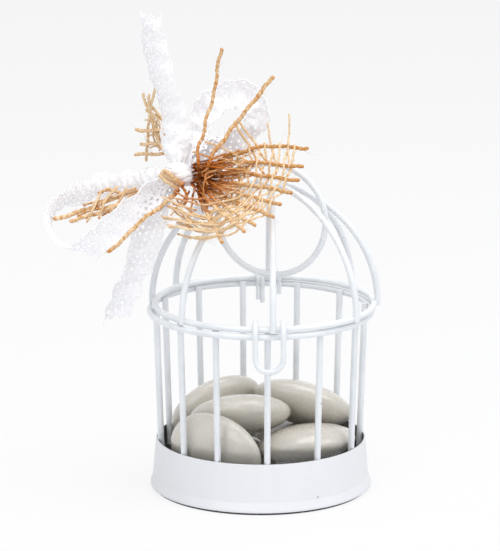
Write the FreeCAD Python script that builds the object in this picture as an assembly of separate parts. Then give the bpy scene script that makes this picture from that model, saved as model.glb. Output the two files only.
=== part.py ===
import FreeCAD, Part
import math
import os

from FreeCAD import Vector

# Mini wire birdcage favour box: a sheet base pan, a cage of uprights, a hinged dome lid with a
# front clasp, a loose carry ring with a lace and jute bow, and sugared almonds inside.
# Millimetres, +Z up, the front faces -Y, the origin is the centre of the underside.
# Azimuths are degrees from the front, positive towards +X.

# Base pan
foot_radius = 28.0
foot_flare = 0.6
wall_taper = 0.8
wall_height = 12.8
flare_height = 2.4
sheet = 0.5
floor_thickness = 0.7
lip_reveal = 0.8
lap_start = 8.0
lap_span = 8.0
lap_rise = 0.35
lap_depth = 7.0

# Wires
cage_wire = 1.6
ring_wire = 1.6
rib_wire = 1.6
carry_wire = 1.6
clasp_wire = 1.4
hinge_wire = 1.2
weld_bite = 0.15

# Cage
cage_spread = 1.3
body_ring_height = 45.8
upright_azimuths = [3.5, 33.5, 63.0, 97.0, 130.0, 159.0, 190.0, 217.0, 247.0, 277.0, 311.0, 335.0]
upright_tuck = 5.0

# Dome lid
lid_inset = 0.3
lid_offset = 0.9
ring_gap = 0.2
dome_rise = 30.4
apex_offset_x = 2.6
apex_offset_y = 2.0
rib_azimuths = [4.0, 53.0, 90.0, 128.0, 177.5, 232.5, 264.0, 314.0]
back_rib = 4
rib_weld_bite = 0.7
rib_drop = 0.6
bead_radius = 3.9
bead_height = 1.8
bead_round = 0.7
rib_sink = 0.6

# Hinge eyes at the back
hinge_play = 0.3
hinge_left_x = 0.5
hinge_right_x = 4.8
hinge_pair = 1.1
hinge_tail_left = 6.6
hinge_tail_pair = 5.8
hinge_tail_right = 4.2
hinge_curl_end = -12.0
hinge_curl_start = 220.0

# Front clasp
clasp_play = 0.3
clasp_centre_x = 2.0
clasp_width = 6.9
clasp_length = 10.3
clasp_body_gap = 0.25
clasp_shoulder = 30.0
clasp_hook_end = 150.0

# Carry ring
carry_radius = 14.3
carry_drop = 9.3
carry_plane = 71.5

# Bow: its points are measured from the dome's top and stretched by one size
bow_size = 1.0

# Lace
lace_width = 7.5
lace_thickness = 0.8
knot_place = (-22.8, -6, 3.6)
knot_half = Vector(3.4, 2.9, 2.6)
tie_angle = 150.0
tie_span = 22.0
tie_wall = 0.7
tie_play = 0.06

# Jute
warp_yarn = 1.1
weft_yarn = 0.6
yarn_gap = 0.25
fan_place = (-17.6, -6.5, 1.2)
neck_reach = 6.0
neck_root = 1.6
neck_mouth = 6.4
neck_back = 2.2
warp_start = 6.1
fan_tips = [
    (9.3, -8, 10.4), (8, -12, 6.7), (7, -16, 4.2),
    (5.2, -21, 2.1), (2.5, -25, 0), (0.5, -29, -2.1),
    (-3.9, -32, -3.7), (-6.5, -33, -5), (-11.9, -30, -8.4),
]
weft_first = 0.42
weft_last = 0.93
weft_count = 8
weft_reach = [1.5, 5.5, 2.0, 3.0, 6.0, 2.0, 8.5, 1.5]
weft_overrun = 1.8
weft_ends = [
    (-23.1, -12.5, -2), (-25.6, -13, -3), (-24.1, -13.5, -4.2), (-26.9, -13.5, -5.8),
    (-23.6, -15, -6.6), (-25.4, -15, -7.8), (-23.4, -16.5, -9.2), (-20.6, -19, -9.7),
]

# Almonds: half sizes and places as shares of the clear radius inside the uprights, then their turns
almond_half = (0.526, 0.424, 0.2)
almond_poses = {
    "almond_front_left": ((-0.461, -0.567, 0.482), -30.0, 101.5, 1.5),
    "almond_front_right": ((0.478, -0.241, 0.482), 26.5, -11.0, -1.0),
    "almond_middle": ((-0.212, -0.135, 0.751), -4.5, -27.5, -6.5),
    "almond_back_left": ((-0.482, 0.461, 0.657), 27.5, 122.5, -11.5),
    "almond_back_right": ((0.441, 0.302, 0.755), -4.5, -32.5, 13.0),
    "almond_under_left": ((-0.494, 0.135, 0.241), -1.5, -10.0, -13.5),
    "almond_under_right": ((0.355, 0.445, 0.241), -59.5, 10.0, 12.5),
}

# Places that follow from the sizes above
up = Vector(0, 0, 1)
neck_radius = foot_radius - foot_flare
rim_radius = neck_radius - wall_taper
body_ring_radius = rim_radius + cage_spread
lid_ring_radius = body_ring_radius - lid_inset
heap_radius = rim_radius - sheet - cage_wire
lid_ring_height = body_ring_height + ring_wire + ring_gap
apex = Vector(apex_offset_x, apex_offset_y, lid_ring_height + dome_rise)
rib_radius = lid_ring_radius + (ring_wire + rib_wire) / 2 - rib_weld_bite
carry_centre = apex - up * carry_drop


def bow(x, y, z):
    return apex + Vector(x, y, z) * bow_size


knot_centre = bow(*knot_place)
fan_centre = bow(*fan_place)

os.makedirs("parts", exist_ok=True)


def save(shape, node):
    shape.exportStep("parts/" + node + ".step")


def polar(azimuth, radius, height, centre_x=0.0):
    angle = math.radians(azimuth)
    return Vector(centre_x + radius * math.sin(angle), -radius * math.cos(angle), height)


def turned(profile, span=360.0):
    face = Part.Face(Part.makePolygon(profile + [profile[0]]))
    return face.revolve(Vector(0, 0, 0), up, span)


def swept(edges, diameter):
    path = Part.Wire(edges)
    start = edges[0].valueAt(edges[0].FirstParameter)
    along = edges[0].tangentAt(edges[0].FirstParameter)
    section = Part.Wire(Part.Circle(start, along, diameter / 2).toShape())
    return path.makePipeShell([section], True, False)


def line(start, end):
    return Part.LineSegment(start, end).toShape()


def arc(start, middle, end):
    return Part.Arc(start, middle, end).toShape()


def yarn(points, diameter):
    # Straight runs with each corner rounded by a tangent arc.
    edges = []
    last = points[0]
    for before, corner, after in zip(points, points[1:], points[2:]):
        inward = (corner - before).normalize()
        outward = (after - corner).normalize()
        turn = inward.getAngle(outward)
        if turn < 0.01:
            continue
        reach = 0.25 * min((corner - before).Length, (after - corner).Length)
        radius = reach / math.tan(turn / 2)
        crown = radius * (1 / math.cos(turn / 2) - 1)
        start = corner - inward * reach
        end = corner + outward * reach
        edges.append(line(last, start))
        edges.append(arc(start, corner + (outward - inward).normalize() * crown, end))
        last = end
    edges.append(line(last, points[-1]))
    return swept(edges, diameter)


def ellipsoid(half, placement):
    scale = FreeCAD.Matrix()
    scale.scale(half.x, half.y, half.z)
    shape = Part.makeSphere(1.0).transformGeometry(scale)
    return shape.transformGeometry(placement.toMatrix())


def ribbon(stations, width, thickness):
    # A strip of even thickness: each station is its middle and the direction across the strip.
    middles = [bow(*place) for place, across in stations]
    sections = []
    for index, (place, across) in enumerate(stations):
        before = middles[max(index - 1, 0)]
        after = middles[min(index + 1, len(middles) - 1)]
        along = (after - before).normalize()
        side = Vector(*across)
        side = (side - along * side.dot(along)).normalize() * (width / 2)
        face = along.cross(side).normalize() * (thickness / 2)
        middle = middles[index]
        corners = [middle - side - face, middle + side - face, middle + side + face, middle - side + face]
        sections.append(Part.makePolygon(corners + [corners[0]]))
    return Part.makeLoft(sections, True, True)


# Base pan: a rolled wall with a flared foot and a lap seam, standing on a flat disc
def wall_inside(height):
    share = (height - floor_thickness - flare_height) / (wall_height - floor_thickness - flare_height)
    return neck_radius + (rim_radius - neck_radius) * share - sheet


foot_top = floor_thickness + flare_height
wall = turned([
    Vector(neck_radius - sheet, 0, floor_thickness),
    Vector(foot_radius, 0, floor_thickness),
    Vector(foot_radius, 0, floor_thickness + sheet),
    Vector(neck_radius, 0, foot_top),
    Vector(rim_radius, 0, wall_height),
    Vector(rim_radius - sheet, 0, wall_height),
    Vector(neck_radius - sheet, 0, foot_top),
])
lap_bottom = wall_height - lap_depth
lap = turned([
    Vector(wall_inside(lap_bottom), 0, lap_bottom),
    Vector(wall_inside(wall_height), 0, wall_height),
    Vector(wall_inside(wall_height), 0, wall_height + lap_rise),
    Vector(wall_inside(wall_height) - sheet, 0, wall_height + lap_rise),
    Vector(wall_inside(lap_bottom) - sheet, 0, lap_bottom),
], lap_span)
lap.rotate(Vector(0, 0, 0), up, lap_start - 90)
save(wall.fuse(lap).removeSplitter(), "base_wall")
save(Part.makeCylinder(foot_radius - lip_reveal, floor_thickness), "base_floor")

# Cage: a ring and the uprights welded inside it and inside the wall's rim
save(Part.makeTorus(body_ring_radius, ring_wire / 2, Vector(0, 0, body_ring_height)), "body_ring")
upright_top_radius = body_ring_radius - (ring_wire + cage_wire) / 2 + weld_bite
upright_rim_radius = rim_radius - sheet - cage_wire / 2 + weld_bite
upright_slope = (upright_top_radius - upright_rim_radius) / (body_ring_height - wall_height)
upright_top = body_ring_height + ring_wire / 2
upright_foot = wall_height - upright_tuck
for number, azimuth in enumerate(upright_azimuths, 1):
    foot = polar(azimuth, upright_rim_radius - upright_slope * upright_tuck, upright_foot)
    head = polar(azimuth, upright_top_radius + upright_slope * (upright_top - body_ring_height), upright_top)
    bar = Part.makeCylinder(cage_wire / 2, (head - foot).Length, foot, head - foot)
    save(bar, "upright_%02d" % number)

# Dome lid: a ring, ribs that rise to an apex bead
lid_centre = Vector(lid_offset, 0, lid_ring_height)
save(Part.makeTorus(lid_ring_radius, ring_wire / 2, lid_centre), "lid_ring")


def dome_rib(azimuth, radius, foot_height):
    foot = polar(azimuth, radius, lid_ring_height, lid_offset)
    level = Vector(apex.x - foot.x, apex.y - foot.y, 0)
    reach = level.Length
    level.normalize()
    bend = (dome_rise ** 2 + reach ** 2) / (2 * reach)
    end_angle = math.acos(1 - (reach - bead_radius + rib_sink) / bend)

    def on_arc(angle):
        return foot + level * (bend * (1 - math.cos(angle))) + up * (bend * math.sin(angle))

    start_angle = math.asin(max(foot_height - lid_ring_height, 0) / bend)
    edges = [arc(on_arc(start_angle), on_arc((start_angle + end_angle) / 2), on_arc(end_angle))]
    if foot_height < lid_ring_height:
        edges.insert(0, line(foot - up * (lid_ring_height - foot_height), foot))
    return swept(edges, rib_wire)


for number, azimuth in enumerate(rib_azimuths):
    if number == back_rib:
        rib = dome_rib(azimuth, lid_ring_radius, lid_ring_height + ring_wire / 2 - weld_bite)
    else:
        rib = dome_rib(azimuth, rib_radius, lid_ring_height - rib_drop)
    save(rib, "dome_rib_%d" % (number + 1))

bead = Part.makeCylinder(bead_radius, bead_height, apex - up * (bead_height / 2))
save(bead.makeFillet(bead_round, [bead.Edges[0], bead.Edges[2]]), "apex_weld")


# Hinge eyes: each a wire curled over the lid ring, its tail welded inside the body ring
def ring_depth(x):
    return math.sqrt(lid_ring_radius ** 2 - (x - lid_offset) ** 2)


hinge_y = (ring_depth(hinge_left_x) + ring_depth(hinge_right_x)) / 2
hinge_curl = (ring_wire + hinge_wire) / 2 + hinge_play


def hinge_eye(x, tail):
    def at(angle):
        turn = math.radians(angle)
        return Vector(x, hinge_y + hinge_curl * math.cos(turn), lid_ring_height + hinge_curl * math.sin(turn))

    body_depth = math.sqrt(body_ring_radius ** 2 - x ** 2)
    tail_y = body_depth - (ring_wire + hinge_wire) / 2 + weld_bite
    slant = math.radians(hinge_curl_start - 180)
    leave = at(hinge_curl_start)
    drop = (tail_y - leave.y) / math.tan(slant)
    bend = Vector(x, tail_y, leave.z - drop)
    run = (bend - leave).Length
    ease = 0.45 * run
    inward = (leave - bend).normalize()
    crown = ease / math.tan(slant / 2) * (1 / math.cos(slant / 2) - 1)
    low = bend - up * ease
    high = bend + inward * ease
    middle = bend + (inward - up).normalize() * crown
    half_curl = (hinge_curl_start + hinge_curl_end) / 2
    edges = [
        line(Vector(x, tail_y, lid_ring_height - tail), low),
        arc(low, middle, high),
        line(high, leave),
        arc(leave, at((hinge_curl_start + half_curl) / 2), at(half_curl)),
        arc(at(half_curl), at((hinge_curl_end + half_curl) / 2), at(hinge_curl_end)),
    ]
    return swept(edges, hinge_wire)


doubled = hinge_eye(hinge_left_x, hinge_tail_left).fuse(hinge_eye(hinge_left_x - hinge_pair, hinge_tail_pair))
save(doubled, "hinge_eye_left")
save(hinge_eye(hinge_right_x, hinge_tail_right), "hinge_eye_right")

# Front clasp: a wire U hooked over the lid ring, hanging in front of the body ring
clasp_left = clasp_centre_x - clasp_width / 2
clasp_right = clasp_centre_x + clasp_width / 2
clasp_y = -(ring_depth(clasp_left) + ring_depth(clasp_right)) / 2
clasp_curl = (ring_wire + clasp_wire) / 2 + clasp_play
leg_y = -(body_ring_radius + (ring_wire + clasp_wire) / 2 + clasp_body_gap)


def clasp_at(x, angle):
    turn = math.radians(angle)
    return Vector(x, clasp_y - clasp_curl * math.cos(turn), lid_ring_height + clasp_curl * math.sin(turn))


def clasp_leg(x):
    # From the hook's tip over the ring, down the shoulder and into the straight leg.
    leave = clasp_at(x, clasp_shoulder)
    slant = math.radians(clasp_shoulder)
    bend = Vector(x, leg_y, leave.z - (leave.y - leg_y) / math.tan(slant))
    ease = 0.45 * (bend - leave).Length
    upward = (leave - bend).normalize()
    crown = ease / math.tan(slant / 2) * (1 / math.cos(slant / 2) - 1)
    low = bend - up * ease
    high = bend + upward * ease
    middle = bend + (upward - up).normalize() * crown
    return [
        arc(clasp_at(x, clasp_hook_end), clasp_at(x, (clasp_hook_end + clasp_shoulder) / 2), leave),
        line(leave, high),
        arc(high, middle, low),
        line(low, Vector(x, leg_y, lid_ring_height - clasp_length + clasp_width / 2)),
    ]


def reversed_edges(edges):
    back = []
    for edge in reversed(edges):
        first = edge.valueAt(edge.FirstParameter)
        half = edge.valueAt((edge.FirstParameter + edge.LastParameter) / 2)
        last = edge.valueAt(edge.LastParameter)
        straight = (half - (first + last) * 0.5).Length < 1e-6
        back.append(line(last, first) if straight else arc(last, half, first))
    return back


u_centre = Vector(clasp_centre_x, leg_y, lid_ring_height - clasp_length + clasp_width / 2)
u_left = u_centre - Vector(clasp_width / 2, 0, 0)
u_right = u_centre + Vector(clasp_width / 2, 0, 0)
u_bottom = u_centre - up * (clasp_width / 2)
eighth = clasp_width / 2 * math.sqrt(0.5)
u_bend = [
    arc(u_left, u_centre + Vector(-eighth, 0, -eighth), u_bottom),
    arc(u_bottom, u_centre + Vector(eighth, 0, -eighth), u_right),
]
clasp_edges = clasp_leg(clasp_left) + u_bend + reversed_edges(clasp_leg(clasp_right))
save(swept(clasp_edges, clasp_wire), "front_clasp")

# Carry ring: a loose wire ring threaded through the dome's top
carry_side = polar(carry_plane, 1.0, 0.0)
carry_axis = carry_side.cross(up)
save(Part.makeTorus(carry_radius, carry_wire / 2, carry_centre, carry_axis), "carry_ring")


def on_carry_ring(angle):
    turn = math.radians(angle)
    return carry_centre + carry_side * (carry_radius * math.cos(turn)) + up * (carry_radius * math.sin(turn))


# Lace bow: a knot, a tie round the carry ring, two loops and two tails
knot = ellipsoid(knot_half, FreeCAD.Placement(knot_centre, FreeCAD.Rotation()))
save(knot, "lace_knot")


def ring_sleeve(tube_radius):
    # A stretch of a thicker tube on the carry ring's own centre line.
    start = on_carry_ring(tie_angle - tie_span / 2)
    middle = on_carry_ring(tie_angle)
    end = on_carry_ring(tie_angle + tie_span / 2)
    return swept([arc(start, middle, end)], tube_radius * 2)


tie_inner = carry_wire / 2 + tie_play
strap = ribbon([
    ((-20.2, -3, 2.8), (0.3, 0.2, 1.0)),
    ((-16.8, 0.6, 1), (0.4, 0.2, 1.0)),
    (tuple((on_carry_ring(tie_angle) - apex) * (1 / bow_size)), (0.5, 0.1, 1.0)),
], lace_width * 0.6, lace_thickness)
tie = ring_sleeve(tie_inner + tie_wall).fuse(strap).cut(ring_sleeve(tie_inner)).cut(
    Part.makeTorus(carry_radius, tie_inner, carry_centre, carry_axis))
tie = tie.cut(knot)
save(max(tie.Solids, key=lambda solid: solid.Volume), "lace_tie")

loop_left = ribbon([
    ((-26.5, -4.4, 2.2), (0.0, -0.2, 1.0)),
    ((-33, 0.5, 0.6), (0.0, -0.3, 1.0)),
    ((-40.6, 3.5, -0.4), (0.0, -0.4, 1.0)),
    ((-48.2, 3.5, -2.7), (-0.3, -0.6, 0.9)),
    ((-53.6, 0.5, -6.1), (-0.6, -0.8, 0.4)),
    ((-55.4, -4, -9.1), (-0.3, -1.0, 0.2)),
    ((-53.2, -9, -12.6), (-0.2, -0.9, 0.5)),
    ((-48.8, -12, -13.8), (-0.4, -0.5, 0.9)),
    ((-44.6, -13, -12), (-0.7, -0.3, 0.8)),
    ((-38.8, -12.5, -7.8), (-0.7, -0.3, 0.8)),
    ((-32.7, -11.5, -2.6), (-0.6, -0.3, 0.8)),
    ((-28.2, -9.5, 1.2), (-0.6, -0.3, 0.8)),
], lace_width, lace_thickness)
save(loop_left.cut(knot), "lace_loop_left")

loop_right = ribbon([
    ((-21, -3.4, 7), (-0.9, 0.2, 0.5)),
    ((-18.8, 1.5, 12.3), (-0.8, 0.4, 0.5)),
    ((-15.8, 4, 17.7), (-0.8, 0.4, 0.6)),
    ((-11.3, 5, 21.8), (-0.4, 0.5, 0.8)),
    ((-6.6, 4, 23), (0.1, 0.5, 0.9)),
    ((-3.1, 1.6, 20.6), (0.8, 0.4, 0.5)),
    ((-2.9, 1, 16.2), (0.9, 0.4, -0.1)),
    ((-6.4, 1.2, 12.4), (0.6, 0.5, -0.7)),
    ((-11.6, 1.6, 10.2), (0.4, 0.6, -0.8)),
    ((-17.2, 0.2, 7.8), (0.4, 0.6, -0.8)),
], lace_width, lace_thickness)
save(loop_right.cut(knot), "lace_loop_right")

tail_up = ribbon([
    ((-23.2, -6, 6), (1.0, 0.2, 0.0)),
    ((-23.8, -3.6, 13.8), (1.0, 0.3, 0.0)),
    ((-25, -1.6, 22.5), (1.0, 0.1, 0.1)),
    ((-25.7, -0.6, 31.3), (0.9, -0.4, 0.1)),
    ((-27.7, -0.2, 38.9), (0.8, -0.6, 0.3)),
    ((-29.1, 0, 43.4), (0.9, -0.3, 0.3)),
], lace_width, lace_thickness)
save(tail_up.cut(knot), "lace_tail_up")

tail_down = ribbon([
    ((-26, -5.9, 0.2), (1.0, 0.2, 0.4)),
    ((-29.2, -8.2, -5.8), (1.0, 0.1, 0.4)),
    ((-31.2, -9.4, -11.7), (1.0, 0.1, 0.3)),
    ((-33.6, -10.2, -18.2), (0.9, 0.4, 0.4)),
    ((-36.5, -10.4, -25.2), (0.9, 0.3, 0.4)),
    ((-39.2, -10.4, -32.4), (0.9, 0.2, 0.4)),
], lace_width, lace_thickness)
save(tail_down.cut(knot), "lace_tail_down")

# Jute net: warp yarns fan out of a gathered neck, thin wefts cross them below
tips = [bow(*tip) for tip in fan_tips]
fan_axis = Vector(0, 0, 0)
for tip in tips:
    fan_axis = fan_axis + (tip - fan_centre).normalize()
fan_axis.normalize()
neck_cone = Part.makeCone(neck_root, neck_mouth, neck_back + neck_reach, fan_centre - fan_axis * neck_back, fan_axis)
neck = neck_cone.common(Part.makeSphere(neck_reach, fan_centre)).cut(knot)
save(max(neck.Solids, key=lambda solid: solid.Volume), "jute_neck")

warps = []
for tip in tips:
    ray = (tip - fan_centre).normalize()
    root = fan_centre + ray * warp_start
    warps.append(Part.makeCylinder(warp_yarn / 2, (tip - root).Length, root, ray))
save(Part.makeCompound(warps), "jute_fan_warps")

weft_offset = (warp_yarn + weft_yarn) / 2 + yarn_gap
wefts = []
for number in range(weft_count):
    share = weft_first + (weft_last - weft_first) * number / (weft_count - 1)
    crossings = [fan_centre + (tip - fan_centre) * share for tip in tips]
    points = []
    for index, place in enumerate(crossings):
        before = crossings[max(index - 1, 0)]
        after = crossings[min(index + 1, len(crossings) - 1)]
        outside = (place - fan_centre).cross(after - before).normalize()
        points.append(place + outside * weft_offset)
    stray = (points[0] - points[1]).normalize() * weft_reach[number]
    past = points[-1] + (points[-1] - points[-2]).normalize() * weft_overrun
    points = [points[0] + stray] + points + [past, bow(*weft_ends[number])]
    wefts.append(yarn(points, weft_yarn))
save(Part.makeCompound(wefts), "jute_fan_wefts")

# Loose jute ends: three long yarns, a folded end on the knot and two frayed flaps
loose_yarns = {
    "jute_strand_right": [(-15, -8.9, 6.7), (-9.3, -5.4, 15.7), (-3.8, -3.6, 22.1), (0.6, -3, 27.9)],
    "jute_strand_tall": [(-17.6, -8.4, 5.8), (-17.2, -5.8, 13.5), (-14.8, -4, 19.5), (-13.8, -3.2, 25.1),
                         (-12.3, -3, 35)],
    "jute_strand_low": [(-23, -8.8, 0.4), (-27.2, -14.2, -3.4), (-33.2, -16.6, -8.6), (-40.6, -18.6, -15)],
}
for node, points in loose_yarns.items():
    save(yarn([bow(*point) for point in points], warp_yarn), node)

flaps = {
    "jute_fold": [
        ([(-27.4, -11, 5.4), (-24.8, -10.3, 3.2), (-22.2, -9.9, 1.4)], 2.0),
    ],
    "jute_flap_left": [
        ([(-34.6, -2, -2), (-44.6, -3.6, -5.4), (-54.6, -4.4, -8.6)], warp_yarn),
        ([(-34.6, -4.4, -2.8), (-42.6, -5.6, -6.2), (-50.3, -6, -8.7)], warp_yarn),
        ([(-38.6, -1.2, -0.6), (-41, -4.6, -2.8), (-43.2, -8, -8.4)], weft_yarn),
        ([(-42.2, -1.4, -1.6), (-44.2, -5.2, -4), (-46, -8.2, -9.8)], weft_yarn),
    ],
    "jute_flap_upper": [
        ([(-29.8, 2.6, 24), (-30.6, 2.6, 16), (-29.2, 2.4, 10.4), (-25.8, -4.5, 6.9)], warp_yarn),
        ([(-32.4, 2.4, 22.4), (-32.2, 2.4, 15), (-31.2, 2.2, 6.4)], weft_yarn),
        ([(-27.6, 2.8, 21.4), (-27.8, 2.8, 14), (-27.2, 2.4, 7)], weft_yarn),
        ([(-34.2, 1.4, 13.4), (-26.6, 1.6, 13.2)], warp_yarn),
        ([(-33, 1.2, 9.8), (-26.6, 1.4, 9.9)], warp_yarn),
        ([(-34.4, 1.2, 6.9), (-26.6, 1.2, 7.2)], warp_yarn),
    ],
}
for node, strands in flaps.items():
    solids = [yarn([bow(*point) for point in points], size) for points, size in strands]
    save(Part.makeCompound(solids), node)

# Sugared almonds, heaped as they lie
for node, (middle, yaw, tilt, roll) in almond_poses.items():
    turn = FreeCAD.Rotation(up, yaw)
    turn = turn.multiply(FreeCAD.Rotation(Vector(0, 1, 0), roll))
    turn = turn.multiply(FreeCAD.Rotation(Vector(1, 0, 0), tilt))
    place = Vector(*middle) * heap_radius + up * floor_thickness
    save(ellipsoid(Vector(*almond_half) * heap_radius, FreeCAD.Placement(place, turn)), node)
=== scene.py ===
import bpy
import numpy as np
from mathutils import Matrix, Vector


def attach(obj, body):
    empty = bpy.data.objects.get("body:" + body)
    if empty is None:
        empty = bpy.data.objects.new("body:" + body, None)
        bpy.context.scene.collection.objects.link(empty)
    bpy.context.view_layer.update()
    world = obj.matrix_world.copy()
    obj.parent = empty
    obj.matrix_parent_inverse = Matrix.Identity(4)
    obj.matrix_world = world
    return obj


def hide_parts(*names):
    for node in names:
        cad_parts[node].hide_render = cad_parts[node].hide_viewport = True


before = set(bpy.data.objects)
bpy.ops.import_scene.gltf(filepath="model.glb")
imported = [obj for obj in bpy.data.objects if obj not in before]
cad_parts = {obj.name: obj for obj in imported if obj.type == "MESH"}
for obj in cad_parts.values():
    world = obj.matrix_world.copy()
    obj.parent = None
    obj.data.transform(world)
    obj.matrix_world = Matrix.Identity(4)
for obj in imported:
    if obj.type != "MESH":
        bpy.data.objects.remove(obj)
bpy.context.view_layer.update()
mm = 0.001
fullTurn = 2 * np.pi
anyTurn = 6.28
dice = np.random.default_rng(41)
print("cage loaded:", len(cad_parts), "nodes")


class Sock:
    # wraps one socket; arithmetic on it adds Math nodes
    def __init__(self, tree, socket=None):
        self.tree = tree
        self.socket = socket

    # one node of any kind: its settings first, then the values or links of its sockets
    def make(self, kind, settings=None, inputs=None, out=0):
        made = self.tree.nodes.new(kind)
        for name, value in (settings or {}).items():
            setattr(made, name, value)
        for name, value in (inputs or {}).items():
            if isinstance(value, Sock):
                self.tree.links.new(value.socket, made.inputs[name])
            else:
                made.inputs[name].default_value = value
        return Sock(self.tree, made.outputs[out])

    # several outputs of the node behind this socket, by number or name
    def outputs(self, *outs):
        return [Sock(self.tree, self.socket.node.outputs[out]) for out in outs]

    def calc(self, operation, *terms):
        return self.make("ShaderNodeMath", {"operation": operation}, dict(enumerate(terms)))

    def sine(self):
        return self.calc("SINE", self)

    def least(self, other):
        return self.calc("MINIMUM", self, other)

    def most(self, other):
        return self.calc("MAXIMUM", self, other)

    # this value as a mask: colour a where it is 0, colour b where it is 1
    def between(self, a, b):
        a, b = [(*colour, 1.0) if isinstance(colour, tuple) else colour for colour in (a, b)]
        return self.make("ShaderNodeMix", {"data_type": "RGBA"}, {0: self, 6: a, 7: b}, 2)

    # 0 below low, 1 above high, smooth between
    def step(self, low, high):
        smooth = {"interpolation_type": "SMOOTHSTEP"}
        return self.make("ShaderNodeMapRange", smooth, {0: self, 1: low, 2: high})

    def __add__(self, other):
        return self.calc("ADD", self, other)

    def __sub__(self, other):
        return self.calc("SUBTRACT", self, other)

    def __rsub__(self, other):
        return self.calc("SUBTRACT", other, self)

    def __mul__(self, other):
        return self.calc("MULTIPLY", self, other)

    def __pow__(self, other):
        return self.calc("POWER", self, other)

    __radd__ = __add__
    __rmul__ = __mul__


# a new material: its shader with the fixed values set, and a Sock to write the rest with
def startFinish(name, fixed):
    mat = bpy.data.materials.new(name)
    mat.use_nodes = True
    shader = mat.node_tree.nodes["Principled BSDF"]
    for socket, value in fixed.items():
        shader.inputs[socket].default_value = value
    return mat, shader, Sock(mat.node_tree)


def wireUp(shader, **links):
    for name, sock in links.items():
        sock.tree.links.new(sock.socket, shader.inputs[name.replace("_", " ")])


def onObject(pen):
    return pen.make("ShaderNodeTexCoord", out="Object")


def onFlat(pen):
    return pen.make("ShaderNodeUVMap", {"uv_map": "flat"})


def grainOf(pen, where, scale, detail=3.0, rough=0.55):
    noise = {"Vector": where, "Scale": scale, "Detail": detail, "Roughness": rough}
    return pen.make("ShaderNodeTexNoise", None, noise)


def raised(pen, height, strength, distance):
    return pen.make("ShaderNodeBump", None, {"Height": height, "Strength": strength, "Distance": distance})


# white enamel on the wires: cloudy white, thin spots, a few small chips, orange peel
wirePaint = dict(
    white=(0.80, 0.83, 0.86), thin=(0.74, 0.775, 0.81), chip=(0.20, 0.20, 0.21),
    cloudScale=160.0, thinFrom=(0.42, 0.72), peelScale=1900.0, chipScale=620.0, chipFrom=(0.80, 0.82),
    rough=0.30, cloudRough=0.12, chipRough=0.3, cloudRise=0.6, bump=(0.25, 0.00008))


def makeWirePaint(paint):
    mat, shader, pen = startFinish("wirePaint", {"Coat Weight": 0.25, "Coat Roughness": 0.18, "IOR": 1.5})
    place = onObject(pen)
    cloud = grainOf(pen, place, paint["cloudScale"])
    peel = grainOf(pen, place, paint["peelScale"], 2.0)
    chips = grainOf(pen, place, paint["chipScale"], 1.0).step(*paint["chipFrom"])
    coat = cloud.step(*paint["thinFrom"]).between(paint["white"], paint["thin"])
    colour = chips.between(coat, paint["chip"])
    rough = paint["rough"] + cloud * paint["cloudRough"] + chips * paint["chipRough"]
    height = peel + cloud * paint["cloudRise"] - chips
    wireUp(shader, Base_Color=colour, Roughness=rough, Normal=raised(pen, height, *paint["bump"]))
    return mat


# pan sheet: enamel outside with runs and dents, bare tin inside held dark as painted shade inside the pan,
# wear on rim and foot lip, and a near-black painted shadow line under the foot lip; heights in metres
panPaint = dict(
    # tin is bare metal, its colour held dark as painted shade inside the pan
    white=(0.81, 0.82, 0.85), run=(0.75, 0.765, 0.80), tin=(0.11, 0.11, 0.115), worn=(0.34, 0.34, 0.35),
    # edge is the colour of a painted shadow line under the foot lip
    edge=(0.03, 0.03, 0.035), lean=0.0825, wallMiddle=(0.02730, 0.02740), floorTop=(0.0009, 0.0013),
    rimTop=(0.01262, 0.01282), footLip=(0.0006, 0.0012), underside=(0.00045, 0.00070),
    cloudScale=95.0, peelScale=1700.0, runScale=260.0, runStretch=(1.0, 1.0, 0.18), runFrom=(0.45, 0.75),
    rimScale=480.0, rimFrom=(0.66, 0.74), footScale=420.0, footFrom=(0.62, 0.72),
    spotScale=700.0, spotFrom=(0.80, 0.82), footShare=0.8, spotShare=0.7, runShare=0.22, cloudShare=0.5,
    rough=0.33, cloudRough=0.14, wornRough=0.2, insideRough=0.1, metal=0.55,
    cloudRise=1.6, peelRise=0.35, runRise=0.2, wornRise=0.6, bump=(0.35, 0.00016))


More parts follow.
